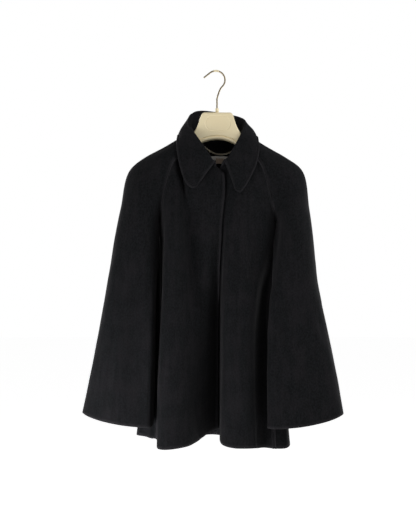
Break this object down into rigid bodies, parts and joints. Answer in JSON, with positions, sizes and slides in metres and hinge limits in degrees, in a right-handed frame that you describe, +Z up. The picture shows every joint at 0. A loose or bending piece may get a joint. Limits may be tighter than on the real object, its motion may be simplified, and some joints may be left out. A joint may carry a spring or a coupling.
{
  "type": "swing jacket on a coat hanger",
  "caption": "Short wool swing jacket with raglan bell sleeves, turn-down collar and concealed front closing, hanging on a moulded hanger with a wire hook.",
  "frame": {"origin": "underside of the top of the hanger's wire hook, where it bears on the rail that holds it", "axes": "+Z up, the jacket's front faces -Y, +X to the right in the front view (the wearer's left)"},
  "size_m": [0.6254, 0.179, 0.9079],
  "materials": {
    "wool": "brushed wool, matt with a soft sheen",
    "tab_tape": "woven tape",
    "woven_label": "woven",
    "woven_label_small": "woven",
    "brass": "bright",
    "ivory_plastic": "satin",
    "steel_wire": "bright zinc"
  },
  "bodies": {
    "root": {"back": "wool", "front_left": "wool", "front_right": "wool", "sleeve_front_right": "wool", "sleeve_back_right": "wool", "sleeve_front_left": "wool", "sleeve_back_left": "wool", "collar": "wool", "label_main": "woven_label", "label_size": "woven_label_small", "hanging_chain": "brass", "chain_tab_right": "tab_tape", "chain_tab_left": "tab_tape", "hanger_body": "ivory_plastic", "hanger_ferrule": "ivory_plastic", "hanger_hook": "steel_wire"}
  },
  "joints": []
}
